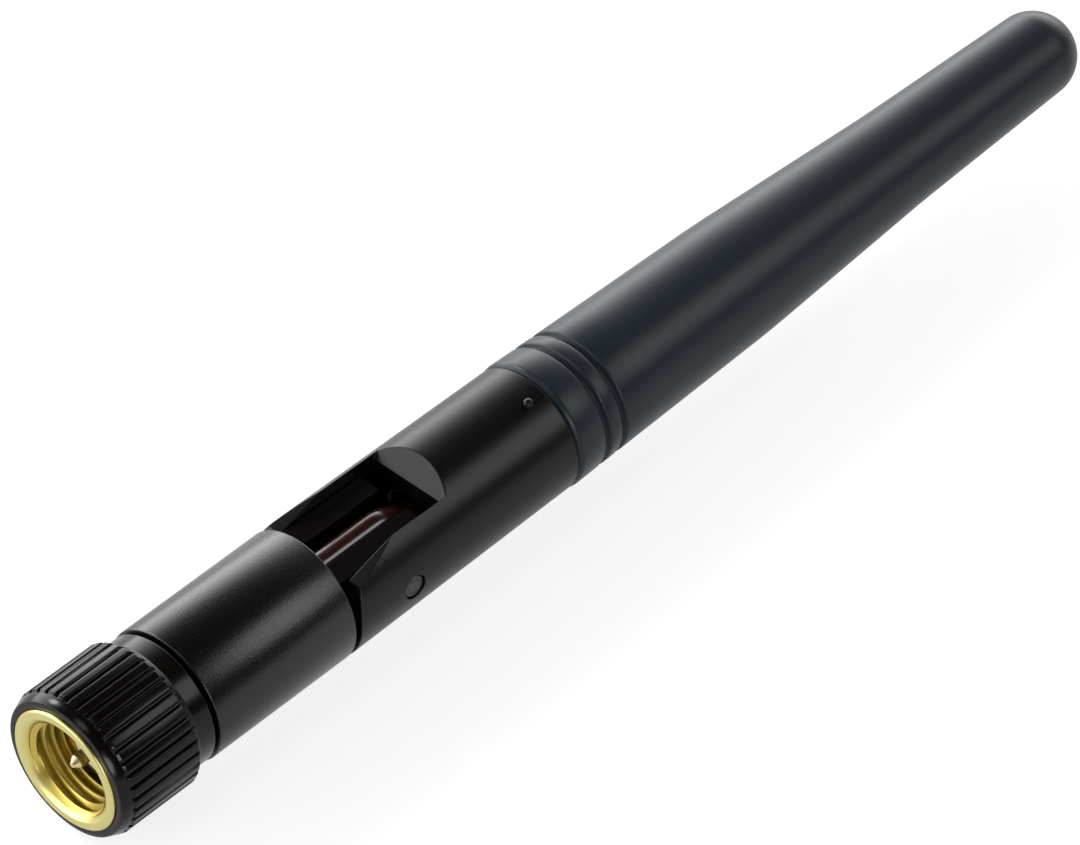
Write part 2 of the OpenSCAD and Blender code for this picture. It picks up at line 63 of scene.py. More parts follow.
def addCamera(s):
    a, e = math.radians(s["azimuth"]), math.radians(s["elevation"])
    back = Vector((math.sin(a) * math.cos(e), -math.cos(a) * math.cos(e), math.sin(e)))
    right = Vector((math.cos(a), math.sin(a), 0.0))
    up = back.cross(right)
    turn = Matrix((right, up, back)).transposed()
    width, height = s["imageSize"]
    ray = Vector((
        (s["mouthPixel"][0] - width / 2) / s["focalPixels"],
        (height / 2 - s["mouthPixel"][1]) / s["focalPixels"],
        -1.0,
    ))
    place = Vector(s["mouthAt"]) * mm - turn @ (ray * s["distance"])
    bpy.ops.object.camera_add(location=place, rotation=turn.to_euler())
    camera = bpy.context.object
    camera.name = "photoCamera"
    camera.data.sensor_width = s["sensor"]
    camera.data.lens = s["focalPixels"] / width * s["sensor"]
    bpy.context.scene.camera = camera
    return camera


addCamera(cameraSettings)


# shader helpers
def newMaterial(name):
    material = bpy.data.materials.new(name)
    material.use_nodes = True
    nodes = material.node_tree.nodes
    return material, nodes, material.node_tree.links, nodes["Principled BSDF"]


def addNode(nodes, kind, **values):
    node = nodes.new(kind)
    for key, value in values.items():
        if key in node.inputs:
            node.inputs[key].default_value = value
        else:
            setattr(node, key, value)
    return node


def newGroup(name, inputs, outputs):
    group = bpy.data.node_groups.new(name, "ShaderNodeTree")
    for label, kind, value in inputs:
        socket = group.interface.new_socket(name=label, in_out="INPUT", socket_type=kind)
        if value is not None:
            socket.default_value = value
    for label, kind in outputs:
        group.interface.new_socket(name=label, in_out="OUTPUT", socket_type=kind)
    source = group.nodes.new("NodeGroupInput")
    result = group.nodes.new("NodeGroupOutput")
    return group, source, result


# fine grain of moulded or eroded plastic: a height and a mask of bright specks, which on the base sleeve are partly
# grain and partly painted glints
def makeGrainGroup():
    group, source, result = newGroup(
        "plasticGrain",
        [("Vector", "NodeSocketVector", None), ("Size", "NodeSocketFloat", 0.1),
         ("Speckle", "NodeSocketFloat", 0.6)],
        [("Height", "NodeSocketFloat"), ("Specks", "NodeSocketFloat")],
    )
    nodes, links = group.nodes, group.links
    perMetre = addNode(nodes, "ShaderNodeMath", operation="DIVIDE")
    perMetre.inputs[0].default_value = 1000.0
    links.new(source.outputs["Size"], perMetre.inputs[1])
    fine = addNode(nodes, "ShaderNodeTexNoise", Detail=3.0, Roughness=0.6)
    links.new(source.outputs["Vector"], fine.inputs["Vector"])
    links.new(perMetre.outputs[0], fine.inputs["Scale"])
    links.new(fine.outputs["Fac"], result.inputs["Height"])
    specks = addNode(nodes, "ShaderNodeMapRange", interpolation_type="SMOOTHSTEP")
    specks.inputs["From Max"].default_value = 0.85
    links.new(fine.outputs["Fac"], specks.inputs["Value"])
    links.new(source.outputs["Speckle"], specks.inputs["From Min"])
    links.new(specks.outputs["Result"], result.inputs["Specks"])
    return group


# fine turning marks round the X axis of a lathed metal piece
def makeTurningGroup():
    group, source, result = newGroup(
        "turningMarks",
        [("Vector", "NodeSocketVector", None), ("Pitch", "NodeSocketFloat", 0.05)],
        [("Height", "NodeSocketFloat")],
    )
    nodes, links = group.nodes, group.links
    perMetre = addNode(nodes, "ShaderNodeMath", operation="DIVIDE")
    perMetre.inputs[0].default_value = 1000.0
    links.new(source.outputs["Pitch"], perMetre.inputs[1])
    split = addNode(nodes, "ShaderNodeSeparateXYZ")
    links.new(source.outputs["Vector"], split.inputs[0])
    flat = addNode(nodes, "ShaderNodeCombineXYZ")
    links.new(split.outputs["Y"], flat.inputs["Y"])
    links.new(split.outputs["Z"], flat.inputs["Z"])
    radius = addNode(nodes, "ShaderNodeVectorMath", operation="LENGTH")
    links.new(flat.outputs[0], radius.inputs[0])
    line = addNode(nodes, "ShaderNodeCombineXYZ")
    links.new(split.outputs["X"], line.inputs["X"])
    links.new(radius.outputs["Value"], line.inputs["Y"])
    marks = addNode(nodes, "ShaderNodeTexNoise", Detail=2.0)
    links.new(line.outputs[0], marks.inputs["Vector"])
    links.new(perMetre.outputs[0], marks.inputs["Scale"])
    links.new(marks.outputs["Fac"], result.inputs["Height"])
    return group


grainGroup = makeGrainGroup()
turningGroup = makeTurningGroup()


def useGroup(nodes, links, group, **values):
    place = addNode(nodes, "ShaderNodeTexCoord")
    node = nodes.new("ShaderNodeGroup")
    node.node_tree = group
    links.new(place.outputs["Object"], node.inputs["Vector"])
    for key, value in values.items():
        node.inputs[key].default_value = value
    return node


def addBump(nodes, links, shader, height, strength, distance):
    bump = addNode(nodes, "ShaderNodeBump", Strength=strength, Distance=distance * mm)
    links.new(height, bump.inputs["Height"])
    links.new(bump.outputs["Normal"], shader.inputs["Normal"])
    return bump


# moulded plastic or rubber: a base colour that varies a little, satin to gloss, with its grain
def makePlastic(name, s):
    material, nodes, links, shader = newMaterial(name)
    grain = useGroup(nodes, links, grainGroup, Size=s["grainSize"], Speckle=s["speckleFrom"])
    colours = addNode(nodes, "ShaderNodeMix", data_type="RGBA")
    colours.inputs["A"].default_value = (*s["colour"], 1.0)
    colours.inputs["B"].default_value = (*s["speckColour"], 1.0)
    links.new(grain.outputs["Specks"], colours.inputs["Factor"])
    links.new(colours.outputs["Result"], shader.inputs["Base Color"])
    rough = addNode(nodes, "ShaderNodeMapRange")
    rough.inputs["To Min"].default_value = s["roughness"][0]
    rough.inputs["To Max"].default_value = s["roughness"][1]
    links.new(grain.outputs["Height"], rough.inputs["Value"])
    links.new(rough.outputs["Result"], shader.inputs["Roughness"])
    bump = addBump(nodes, links, shader, grain.outputs["Height"], s["bump"], s["grainDepth"])
    if "rounded" in s:
        edges = addNode(nodes, "ShaderNodeBevel", samples=6, Radius=s["rounded"] * mm)
        links.new(edges.outputs["Normal"], bump.inputs["Normal"])
    shader.inputs["IOR"].default_value = s["ior"]
    shader.inputs["Coat Weight"].default_value = s.get("coat", 0.0)
    shader.inputs["Coat Roughness"].default_value = s.get("coatRoughness", 0.1)
    shader.inputs["Sheen Weight"].default_value = s.get("sheen", 0.0)
    return material


# painted shade: the plating's colour is mixed toward a darker brown further in along the X axis, inside the bore
# where little light reaches it
def addPaintedDepthShade(nodes, links, shader, colours, s):
    place = addNode(nodes, "ShaderNodeTexCoord")
    split = addNode(nodes, "ShaderNodeSeparateXYZ")
    links.new(place.outputs["Object"], split.inputs[0])
    deep = addNode(nodes, "ShaderNodeMapRange", interpolation_type="SMOOTHSTEP")
    deep.inputs["From Min"].default_value = s["paintedShadeFrom"] * mm
    deep.inputs["From Max"].default_value = s["paintedShadeTo"] * mm
    links.new(split.outputs["X"], deep.inputs["Value"])
    tone = addNode(nodes, "ShaderNodeMix", data_type="RGBA")
    tone.inputs["B"].default_value = (*s["paintedShadeColour"], 1.0)
    links.new(deep.outputs["Result"], tone.inputs["Factor"])
    links.new(colours.outputs["Result"], tone.inputs["A"])
    links.new(tone.outputs["Result"], shader.inputs["Base Color"])


# turned and plated metal
def makeMetal(name, s):
    material, nodes, links, shader = newMaterial(name)
    marks = useGroup(nodes, links, turningGroup, Pitch=s["pitch"])
    colours = addNode(nodes, "ShaderNodeMix", data_type="RGBA")
    colours.inputs["A"].default_value = (*s["colour"], 1.0)
    colours.inputs["B"].default_value = (*s["markColour"], 1.0)
    links.new(marks.outputs["Height"], colours.inputs["Factor"])
    links.new(colours.outputs["Result"], shader.inputs["Base Color"])
    # painted shade inside the bore, where a darker colour is given
    if "paintedShadeColour" in s:
        addPaintedDepthShade(nodes, links, shader, colours, s)
    rough = addNode(nodes, "ShaderNodeMapRange")
    rough.inputs["To Min"].default_value = s["roughness"][0]
    rough.inputs["To Max"].default_value = s["roughness"][1]
    links.new(marks.outputs["Height"], rough.inputs["Value"])
    links.new(rough.outputs["Result"], shader.inputs["Roughness"])
    addBump(nodes, links, shader, marks.outputs["Height"], s["bump"], s["markDepth"])
    shader.inputs["Metallic"].default_value = 1.0
    return material


plasticSettings = {
    "sleevePlastic": {
        "colour": (0.0035, 0.0024, 0.0022), "speckColour": (0.006, 0.004, 0.004),
        "grainSize": 0.25, "speckleFrom": 0.6, "grainDepth": 0.01, "bump": 0.25,
        "roughness": (0.16, 0.24), "ior": 1.28, "rounded": 0.06,
    },
    "basePlastic": {
        # the bright specks here are partly grain and partly painted glints
        "colour": (0.0018, 0.0018, 0.0019), "speckColour": (0.016, 0.0155, 0.016),
        "grainSize": 0.15, "speckleFrom": 0.54, "grainDepth": 0.014, "bump": 0.7,
        "roughness": (0.34, 0.22), "ior": 1.46,
    },
    "knucklePlastic": {
        "colour": (0.0022, 0.0012, 0.0012), "speckColour": (0.004, 0.0025, 0.0025),
        "grainSize": 0.4, "speckleFrom": 0.6, "grainDepth": 0.01, "bump": 0.2,
        "roughness": (0.14, 0.2), "ior": 1.3,
    },
    "forkPlastic": {
        "colour": (0.0016, 0.0013, 0.0019), "speckColour": (0.005, 0.0045, 0.006),
        "grainSize": 0.3, "speckleFrom": 0.6, "grainDepth": 0.008, "bump": 0.3,
        "roughness": (0.3, 0.36), "ior": 1.33,
    },
    "radomeRubber": {
        "colour": (0.0125, 0.018, 0.0245), "speckColour": (0.017, 0.024, 0.032),
        "grainSize": 0.12, "speckleFrom": 0.58, "grainDepth": 0.012, "bump": 0.4,
        "roughness": (0.31, 0.39), "ior": 1.31, "sheen": 0.02,
    },
    "cableJacket": {
        "colour": (0.026, 0.004, 0.002), "speckColour": (0.04, 0.006, 0.003),
        "grainSize": 0.5, "speckleFrom": 0.55, "grainDepth": 0.01, "bump": 0.2,
        "roughness": (0.22, 0.3), "ior": 1.48, "coat": 0.9, "coatRoughness": 0.18,
    },
    "whiteInsulator": {
        "colour": (0.8, 0.79, 0.76), "speckColour": (0.72, 0.7, 0.66),
        "grainSize": 0.3, "speckleFrom": 0.6, "grainDepth": 0.01, "bump": 0.2,
        "roughness": (0.35, 0.5), "ior": 1.38,
    },
    "washerNylon": {
        "colour": (0.68, 0.64, 0.54), "speckColour": (0.6, 0.56, 0.46),
        "grainSize": 0.3, "speckleFrom": 0.6, "grainDepth": 0.01, "bump": 0.2,
        "roughness": (0.4, 0.5), "ior": 1.5,
    },
    "shrinkPlastic": {
        "colour": (0.012, 0.012, 0.013), "speckColour": (0.02, 0.02, 0.02),
        "grainSize": 0.35, "speckleFrom": 0.6, "grainDepth": 0.02, "bump": 0.4,
        "roughness": (0.4, 0.55), "ior": 1.5,
    },
}
metalSettings = {
    "goldPlating": {
        "colour": (0.66, 0.6, 0.26), "markColour": (0.6, 0.53, 0.2),
        # the darker brown from the mouth inwards is painted shade in the bore
        "paintedShadeColour": (0.5, 0.385, 0.08), "paintedShadeFrom": -2.7, "paintedShadeTo": -2.25,
        "pitch": 0.06, "markDepth": 0.004, "bump": 0.3, "roughness": (0.27, 0.38),
    },
    "contactGold": {
        "colour": (0.72, 0.59, 0.32), "markColour": (0.64, 0.5, 0.25),
        "pitch": 0.05, "markDepth": 0.003, "bump": 0.3, "roughness": (0.22, 0.34),
    },
    "bronzeSpring": {
        "colour": (0.6, 0.42, 0.22), "markColour": (0.5, 0.34, 0.16),
        "pitch": 0.05, "markDepth": 0.004, "bump": 0.3, "roughness": (0.3, 0.4),
    },
    "tinnedMetal": {
        "colour": (0.62, 0.61, 0.58), "markColour": (0.52, 0.51, 0.49),
        "pitch": 0.08, "markDepth": 0.01, "bump": 0.4, "roughness": (0.32, 0.48),
    },
    "drawnBrass": {
        "colour": (0.68, 0.48, 0.17), "markColour": (0.58, 0.4, 0.13),
        "pitch": 0.1, "markDepth": 0.004, "bump": 0.3, "roughness": (0.22, 0.36),
    },
    "blackSteel": {
        "colour": (0.05, 0.05, 0.055), "markColour": (0.08, 0.08, 0.085),
        "pitch": 0.05, "markDepth": 0.004, "bump": 0.3, "roughness": (0.3, 0.4),
    },
}
finishes = {name: makePlastic(name, s) for name, s in plasticSettings.items()}
finishes.update({name: makeMetal(name, s) for name, s in metalSettings.items()})
print("stage: finishes made")


# mesh helpers
def deselectAll():
    if bpy.context.object and bpy.context.object.mode != "OBJECT":
        bpy.ops.object.mode_set(mode="OBJECT")
    bpy.ops.object.select_all(action="DESELECT")


def startEdit(obj):
    deselectAll()
    bpy.context.view_layer.objects.active = obj
    obj.select_set(True)
    bpy.ops.object.mode_set(mode="EDIT")


def pickFaces(obj, test):
    bpy.ops.mesh.select_mode(type="FACE")
    bpy.ops.mesh.select_all(action="DESELECT")
    bpy.ops.object.mode_set(mode="OBJECT")
    for face in obj.data.polygons:
        face.select = bool(test(face))
    bpy.ops.object.mode_set(mode="EDIT")


def pickEnds(obj):
    bpy.ops.mesh.select_mode(type="EDGE")
    bpy.ops.mesh.select_all(action="DESELECT")
    bpy.ops.mesh.select_non_manifold(extend=False, use_wire=True, use_boundary=True,
                                     use_multi_face=False, use_non_contiguous=False, use_verts=False)


def applyModifier(obj, kind, **values):
    deselectAll()
    bpy.context.view_layer.objects.active = obj
    obj.select_set(True)
    modifier = obj.modifiers.new(kind.lower(), kind)
    for key, value in values.items():
        setattr(modifier, key, value)
    bpy.ops.object.modifier_apply(modifier=modifier.name)


def smoothByAngle(obj, degrees):
    deselectAll()
    bpy.context.view_layer.objects.active = obj
    obj.select_set(True)
    bpy.ops.object.shade_smooth_by_angle(angle=math.radians(degrees))


def paint(obj, finish):
    obj.data.materials.clear()
    obj.data.materials.append(finishes[finish])


# turns a profile of (station, radius) points in mm round the X axis, ring by ring
def turnPiece(name, profile, sides, closed=True):
    deselectAll()
    x, r = profile[0]
    bpy.ops.mesh.primitive_circle_add(
        vertices=sides, radius=r * mm, location=(x * mm, 0, 0), rotation=(0, math.pi / 2, 0)
    )
    obj = bpy.context.object
    obj.name = name
    bpy.ops.object.transform_apply(location=True, rotation=True, scale=True)
    bpy.ops.object.mode_set(mode="EDIT")
    bpy.ops.mesh.select_mode(type="EDGE")
    bpy.ops.mesh.select_all(action="SELECT")
    for nextX, nextR in profile[1:]:
        bpy.ops.mesh.extrude_edges_move(
            TRANSFORM_OT_translate={"value": ((nextX - x) * mm, 0, 0)}
        )
        scale = max(nextR, 1e-4) / r
        if abs(scale - 1) > 1e-9:
            bpy.ops.transform.resize(value=(1, scale, scale), center_override=(nextX * mm, 0, 0))
        x, r = nextX, max(nextR, 1e-4)
        if nextR == 0:
            bpy.ops.mesh.merge(type="CENTER")
    if closed:
        pickEnds(obj)
        bpy.ops.mesh.bridge_edge_loops()
    bpy.ops.mesh.select_all(action="SELECT")
    bpy.ops.mesh.normals_make_consistent(inside=False)
    bpy.ops.object.mode_set(mode="OBJECT")
    return obj


def roundEdges(obj, width, segments=3, limit=28.0):
    applyModifier(obj, "BEVEL", width=width * mm, segments=segments, limit_method="ANGLE",
                  angle_limit=math.radians(limit), use_clamp_overlap=True)


def angleRound(point):
    return math.atan2(point.z, point.y)


# the knurled sleeve: straight ridges with chamfered ends, a front bevel and a rear collar
sleeveSettings = {
    "front": -2.5, "seatR": 4.15, "faceR": 4.64, "bevelR": 4.88, "ridgeStart": -1.8,
    "ridgeFull": -1.64, "ridgeR": 5.0, "valleyR": 4.68, "ridgeEnd": 3.55, "collarStart": 4.1,
    "collarR": 4.45, "end": 5.5, "count": 36, "columns": 6, "grooveColumns": (2, 3),
    "grooveWall": 0.07, "edge": 0.045, "backR": 2.76, "boreR": 3.97, "nutEnd": 3.32,
    "seatEnd": -2.08,
}


def makeKnurledSleeve(s):
    # where the chamfer at the ridges' rear ends meets the grooves' floor
    runOut = s["ridgeEnd"] + (s["ridgeR"] - s["valleyR"]) / (s["ridgeR"] - s["collarR"]) * (
        s["collarStart"] - s["ridgeEnd"])
    profile = [
        (s["seatEnd"], s["seatR"]), (s["front"], s["seatR"]), (s["front"], s["faceR"]),
        (s["ridgeStart"] - 0.1, s["bevelR"]), (s["ridgeStart"], s["bevelR"]),
        (s["ridgeFull"], s["ridgeR"]), (s["ridgeEnd"], s["ridgeR"]), (runOut, s["valleyR"]),
        (s["collarStart"], s["collarR"]), (s["end"] - 0.15, s["collarR"]),
        (s["end"], s["collarR"] - 0.15), (s["end"], s["backR"]), (s["nutEnd"], s["backR"]),
        (s["nutEnd"], s["boreR"]), (s["seatEnd"], s["boreR"]),
    ]
    sides = s["count"] * s["columns"]
    obj = turnPiece("knurledSleeve", profile, sides)
    startEdit(obj)
    step = 2 * math.pi / sides

    def inGroove(face):
        c = face.center
        radial = math.hypot(c.y, c.z)
        if not (s["ridgeStart"] * mm < c.x < runOut * mm and radial > s["valleyR"] * mm):
            return False
        return int(math.floor(angleRound(c) / step)) % s["columns"] in s["grooveColumns"]

    pickFaces(obj, inGroove)
    bpy.ops.mesh.inset(thickness=s["grooveWall"] * mm, depth=0, use_boundary=True)
    bpy.ops.object.mode_set(mode="OBJECT")
    # the grooves' floors lie at one radius
    sunk = {i for face in obj.data.polygons if face.select for i in face.vertices}
    for i in sunk:
        co = obj.data.vertices[i].co
        scale = s["valleyR"] * mm / math.hypot(co.y, co.z)
        co.y, co.z = co.y * scale, co.z * scale
    roundEdges(obj, s["edge"], segments=2, limit=30)
    smoothByAngle(obj, 40)
    paint(obj, "sleevePlastic")
    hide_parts("knurled_sleeve")
    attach(obj, "nut")
    return obj


makeKnurledSleeve(sleeveSettings)
print("stage: knurled sleeve made")


# the coupling nut with its helical inner thread
nutSettings = {
    "mouth": -2.7, "mouthR": 3.57, "rimR": 4.13, "rimEnd": -2.1, "bodyR": 3.95,
    "end": 3.3, "rearR": 2.61, "rootR": 3.18, "crestR": 2.85, "pitch": 0.7056,
    "threadEnd": 0.45, "crestFlat": 0.1, "rootFlat": 0.56, "steps": 96, "phase": -1.31,
    "chamferLength": 0.55,
}


def makeCouplingNut(s):
    slope = (s["mouthR"] - s["crestR"]) / s["chamferLength"]
    chamferEnd = s["mouth"] + (s["mouthR"] - s["rootR"]) / slope
    profile = [
        (s["mouth"], s["mouthR"]), (s["mouth"], s["rimR"] - 0.1), (s["mouth"] + 0.1, s["rimR"]),
        (s["rimEnd"], s["rimR"]), (s["rimEnd"], s["bodyR"]), (s["end"], s["bodyR"]),
        (s["end"], s["rearR"]), (2.3, s["rearR"]), (2.3, 2.91), (1.7, 2.91), (1.7, s["rearR"]),
        (1.0, s["rearR"]), (1.0, 3.25), (0.5, 3.25), (0.5, s["rootR"]), (chamferEnd, s["rootR"]),
    ]
    body = turnPiece("couplingNut", profile, 144)
    roundEdges(body, 0.03, segments=2)
    thread = makeThread(s)
    deselectAll()
    thread.select_set(True)
    body.select_set(True)
    bpy.context.view_layer.objects.active = body
    bpy.ops.object.join()
    smoothByAngle(body, 35)
    paint(body, "goldPlating")
    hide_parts("coupling_nut")
    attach(body, "nut")
    return body


def makeThread(s):
    deselectAll()
    bpy.ops.mesh.primitive_circle_add(vertices=4, radius=1 * mm)
    obj = bpy.context.object
    obj.name = "innerThread"
    start = s["mouth"] + s["phase"]
    outer = s["rootR"] + 0.04
    slope = (s["mouthR"] - s["crestR"]) / s["chamferLength"]
    corners = [
        (start - s["rootFlat"] / 2, outer), (start - s["crestFlat"] / 2, s["crestR"]),
        (start + s["crestFlat"] / 2, s["crestR"]), (start + s["rootFlat"] / 2, outer),
    ]
    for vertex, (x, r) in zip(obj.data.vertices, corners):
        vertex.co = (x * mm, 0, r * mm)
    turns = math.ceil((s["threadEnd"] - start) / s["pitch"])
    applyModifier(obj, "SCREW", axis="X", angle=2 * math.pi, screw_offset=s["pitch"] * mm,
                  iterations=turns, steps=s["steps"], render_steps=s["steps"],
                  use_smooth_shade=True, use_merge_vertices=False)
    # the ends of the thread run out in the mouth's chamfer and in the relief
    for vertex in obj.data.vertices:
        co = vertex.co
        r = math.hypot(co.y, co.z) / mm
        x = co.x / mm
        mouthR = s["mouthR"] + 0.02 - slope * (x - s["mouth"])
        endR = s["crestR"] + (x - s["threadEnd"])
        wanted = min(max(r, mouthR, endR), outer)
        co.y *= wanted / r
        co.z *= wanted / r
        co.x = min(max(x, s["mouth"] + 0.22), 0.48) * mm
    startEdit(obj)
    pickEnds(obj)
    bpy.ops.mesh.edge_face_add()
    bpy.ops.mesh.select_all(action="SELECT")
    bpy.ops.mesh.normals_make_consistent(inside=False)
    bpy.ops.object.mode_set(mode="OBJECT")
    return obj


makeCouplingNut(nutSettings)
print("stage: coupling nut made")


# the base sleeve that turns on the plug
baseSettings = {
    "start": 5.7, "end": 17.1, "outR": 4.55, "boreR": 2.61, "wallR": 3.7,
    "lip": 1.5, "edge": 0.09, "sides": 160,
}


def makeBaseSleeve(s):
    profile = [
        (s["start"], s["boreR"]), (s["start"], s["outR"]), (s["end"], s["outR"]),
        (s["end"], s["wallR"]), (s["start"] + s["lip"], s["wallR"]),
        (s["start"] + s["lip"], s["boreR"]),
    ]
    obj = turnPiece("baseSleeve", profile, s["sides"])
    roundEdges(obj, s["edge"], segments=3)
    smoothByAngle(obj, 35)
    paint(obj, "basePlastic")
    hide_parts("base_sleeve")
    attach(obj, "base")
    return obj


makeBaseSleeve(baseSettings)
print("stage: base sleeve made")


# the cable's layers, which bend inside the hinge
cableSettings = {
    "riseFrom": 12.65, "run": 5.0, "fallFrom": 23.0, "fallRun": 4.0, "rise": 1.35,
    "bendFrom": 19.6, "bendTo": 24.8, "step": 0.25,
    "layers": {
        "cableJacket": {
            "node": "coax_jacket", "slot": "cable_jacket", "finish": "cableJacket",
            "outer": 1.8, "inner": 1.34, "start": 11.05, "end": 57.9,
        },
        "cableBraid": {
            "node": "coax_braid", "slot": "tinned_metal", "finish": "tinnedMetal",
            "outer": 1.3, "inner": 0.88, "start": 5.5, "end": 59.2,
        },
        "cableCore": {
            "node": "coax_core", "slot": "white_insulator", "finish": "whiteInsulator",
            "outer": 0.84, "inner": 0.34, "start": 5.15, "end": 82.8,
        },
        "cableConductor": {
            "node": "coax_conductor", "slot": "tinned_metal", "finish": "tinnedMetal",
            "outer": 0.3, "inner": 0.0, "start": 4.0, "end": 83.2,
        },
    },
}


def cableHeight(x, s):
    if x <= s["riseFrom"] or x >= s["fallFrom"] + s["fallRun"]:
        return 0.0
    if x < s["riseFrom"] + s["run"]:
        return s["rise"] * (1 - math.cos(math.pi * (x - s["riseFrom"]) / s["run"])) / 2
    if x <= s["fallFrom"]:
        return s["rise"]
    return s["rise"] * (1 + math.cos(math.pi * (x - s["fallFrom"]) / s["fallRun"])) / 2


def cableStations(layer, s):
    low, high = s["riseFrom"], s["fallFrom"] + s["fallRun"]
    count = int((high - low) / s["step"])
    middle = [low + (high - low) * i / count for i in range(count + 1)]
    return [layer["start"]] + middle + [layer["end"]]


def makeCableLayer(name, layer, s):
    deselectAll()
    line = bpy.data.curves.new(name, "CURVE")
    line.dimensions = "3D"
    line.twist_mode = "Z_UP"
    line.bevel_depth = layer["outer"] / 2 * mm
    line.bevel_resolution = 6
    line.use_fill_caps = layer["inner"] == 0
    spline = line.splines.new("POLY")
    stations = cableStations(layer, s)
    spline.points.add(len(stations) - 1)
    for point, x in zip(spline.points, stations):
        point.co = (x * mm, 0, cableHeight(x, s) * mm, 1)
    obj = bpy.data.objects.new(name, line)
    bpy.context.collection.objects.link(obj)
    obj.select_set(True)
    bpy.context.view_layer.objects.active = obj
    bpy.ops.object.convert(target="MESH")
    obj = bpy.context.object
    startEdit(obj)
    bpy.ops.mesh.select_all(action="SELECT")
    bpy.ops.mesh.remove_doubles(threshold=0.001 * mm)
    bpy.ops.mesh.normals_make_consistent(inside=False)
    bpy.ops.object.mode_set(mode="OBJECT")
    if layer["inner"] > 0:
        applyModifier(obj, "SOLIDIFY", thickness=(layer["outer"] - layer["inner"]) / 2 * mm, offset=-1)
    smoothByAngle(obj, 40)
    paint(obj, layer["finish"])
    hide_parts(layer["node"])
    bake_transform(obj)
    return obj


for layerName, layerSettings in cableSettings["layers"].items():
    makeCableLayer(layerName, layerSettings, cableSettings)
print("stage: cable made")


# the radome: rounded lip, two ring grooves, a taper and a round tip
radomeSettings = {
    "lip": 36.6, "lipR": 4.44, "lipRound": 0.5, "shoulder": 55.0, "shoulderR": 4.05,
    "neck": 70.2, "neckR": 3.28, "tipR": 2.9, "tip": 86.6, "grooves": (39.2, 40.7),
    "grooveWidth": 0.5, "grooveDepth": 0.3, "wall": 1.05, "socketR": 3.22,
    "socketEnd": 46.4, "sides": 160,
}


def radomeProfile(s):
    def outside(x):
        if x < s["shoulder"]:
            return s["lipR"] + (s["shoulderR"] - s["lipR"]) * (x - s["lip"]) / (s["shoulder"] - s["lip"])
        if x < s["neck"]:
            return s["shoulderR"] + (s["neckR"] - s["shoulderR"]) * (x - s["shoulder"]) / (s["neck"] - s["shoulder"])
        return s["neckR"] + (s["tipR"] - s["neckR"]) * (x - s["neck"]) / (s["tip"] - s["tipR"] - s["neck"])

    points = []
    steps = 8
    for i in range(steps + 1):
        a = math.pi / 2 * i / steps
        points.append((s["lip"] + s["lipRound"] * (1 - math.cos(a)),
                       outside(s["lip"]) - s["lipRound"] * (1 - math.sin(a))))
    for groove in s["grooves"]:
        half = s["grooveWidth"] / 2
        deep = s["grooveDepth"]
        for offset, depth in (
            (-half - 0.12, 0), (-half - 0.04, 0.02), (-half + 0.02, 0.1), (-half + 0.06, deep - 0.08),
            (-half + 0.14, deep), (half - 0.14, deep), (half - 0.06, deep - 0.08),
            (half - 0.02, 0.1), (half + 0.04, 0.02), (half + 0.12, 0),
        ):
            points.append((groove + offset, outside(groove + offset) - depth))
    for x in (44, 48, 52, 54.2, 55.8, 60, 65, 69.6, 70.8, 75, 80):
        points.append((x, outside(x)))
    tipCentre = s["tip"] - s["tipR"]
    for i in range(24):
        a = math.pi / 2 * i / 24
        points.append((tipCentre + s["tipR"] * math.sin(a), s["tipR"] * math.cos(a)))
    points.append((s["tip"], 0))
    return points


def radomeInside(s):
    tipCentre = s["tip"] - s["tipR"]
    r = s["tipR"] - s["wall"]
    points = [(s["lip"], s["socketR"]), (s["socketEnd"], s["socketR"]),
              (s["socketEnd"], s["socketR"] - 0.2), (s["shoulder"], s["shoulderR"] - s["wall"]),
              (s["neck"], s["neckR"] - s["wall"])]
    for i in range(12):
        a = math.pi / 2 * i / 12
        points.append((tipCentre + r * math.sin(a), r * math.cos(a)))
    points.append((tipCentre + r, 0))
    return points


def makeRadome(s):
    shell = turnPiece("radome", radomeProfile(s), s["sides"], closed=False)
    hollow = turnPiece("radomeHollow", radomeInside(s), s["sides"], closed=False)
    deselectAll()
    hollow.select_set(True)
    shell.select_set(True)
    bpy.context.view_layer.objects.active = shell
    bpy.ops.object.join()
    startEdit(shell)
    pickEnds(shell)
    bpy.ops.mesh.bridge_edge_loops()
    bpy.ops.mesh.select_all(action="SELECT")
    bpy.ops.mesh.normals_make_consistent(inside=False)
    bpy.ops.object.mode_set(mode="OBJECT")
    smoothByAngle(shell, 45)
    paint(shell, "radomeRubber")
    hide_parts("radome")
    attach(shell, "arm")
    return shell


makeRadome(radomeSettings)
print("stage: radome made")


# the hinge's moulded pieces: copies of the CAD shapes with their edges rounded
roundedSettings = {
    "hingeKnuckle": {
        "node": "hinge_knuckle", "slot": "knuckle_plastic", "finish": "knucklePlastic",
        "ride": "base", "edge": 0.12, "keptAt": None, "tubeR": None,
    },
    "hingeFork": {
        "node": "hinge_fork", "slot": "fork_plastic", "finish": "forkPlastic",
        "ride": "arm", "edge": 0.18, "keptAt": (35.15, -1.49, 4.2), "keptRadius": 0.6,
        "tubeR": (4.33, 4.58),
    },
}


